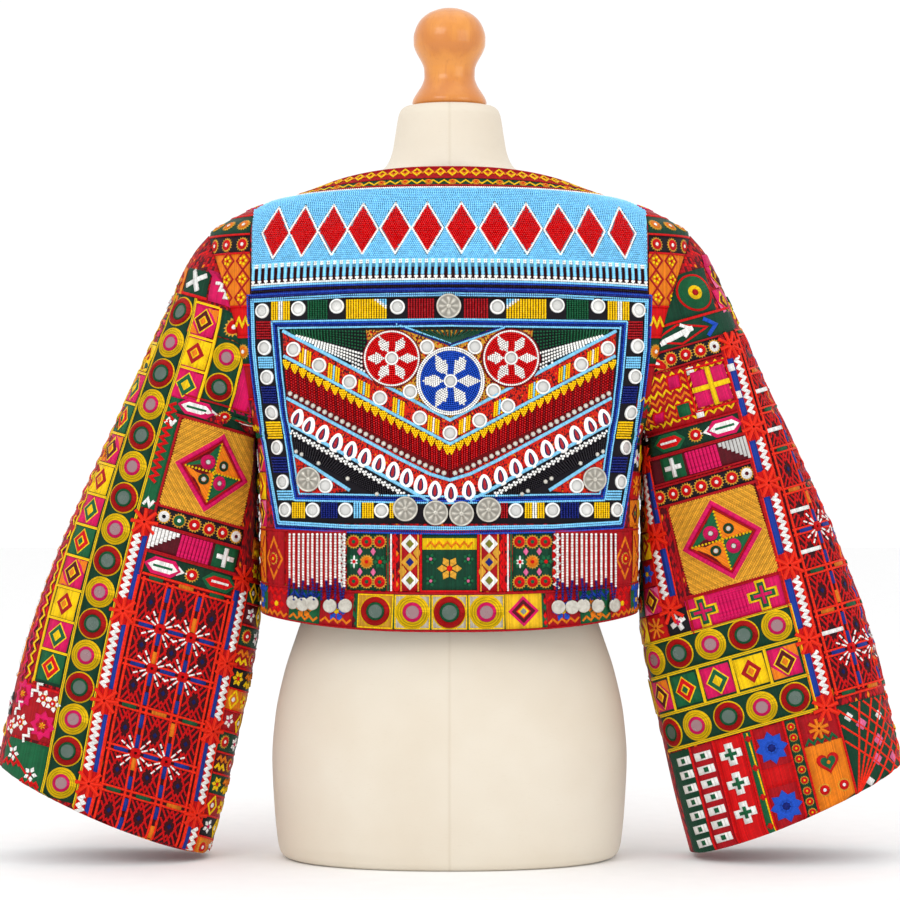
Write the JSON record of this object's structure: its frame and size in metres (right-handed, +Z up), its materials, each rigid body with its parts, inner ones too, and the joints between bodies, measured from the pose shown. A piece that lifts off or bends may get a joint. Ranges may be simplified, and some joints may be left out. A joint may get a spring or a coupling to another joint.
{
  "type": "embroidered top on a dress form",
  "caption": "Cropped embroidered top with wide bell sleeves and a beaded back, worn by a limbless dress form with a turned wooden neck knob.",
  "frame": {"origin": "under the middle of the dress form's base, on the surface that it stands on", "axes": "+Z up, -Y out of the garment's beaded back, +Y out of its front, +X towards the wearer's right hand"},
  "size_m": [0.899, 0.2496, 0.8475],
  "materials": {
    "cloth_red": "cotton covered with dense embroidery",
    "cloth_plum": "cotton covered with dense embroidery",
    "beads_blue": "opaque glass beads",
    "beads_red": "opaque glass beads",
    "beads_sky": "opaque glass beads",
    "beads_white": "opaque glass beads",
    "coin_metal": "worn silver-coloured metal",
    "form_cover": "plain calico stretched over the form",
    "knob_wood": "turned and varnished"
  },
  "bodies": {
    "root": {"back_panel": "cloth_red", "front_panel": "cloth_red", "hem_upper_back": "cloth_plum", "hem_upper_front": "cloth_plum", "hem_lower_back": "cloth_red", "hem_lower_front": "cloth_red", "neck_band": "cloth_red", "sleeve_right": "cloth_red", "sleeve_left": "cloth_red", "bead_panel": "beads_blue", "rosette_left": "beads_red", "rosette_right": "beads_red", "rosette_middle": "beads_blue", "coin_top": "coin_metal", "coin_bottom_outer_left": "coin_metal", "coin_bottom_inner_left": "coin_metal", "coin_bottom_inner_right": "coin_metal", "coin_bottom_outer_right": "coin_metal", "coin_corner_left": "coin_metal", "coin_corner_right": "coin_metal", "yoke_panel": "beads_sky", "yoke_fringe": "beads_sky", "bead_fringe_left": "beads_white", "bead_fringe_right": "beads_white", "dress_form": "form_cover", "neck_knob": "knob_wood"}
  },
  "joints": []
}
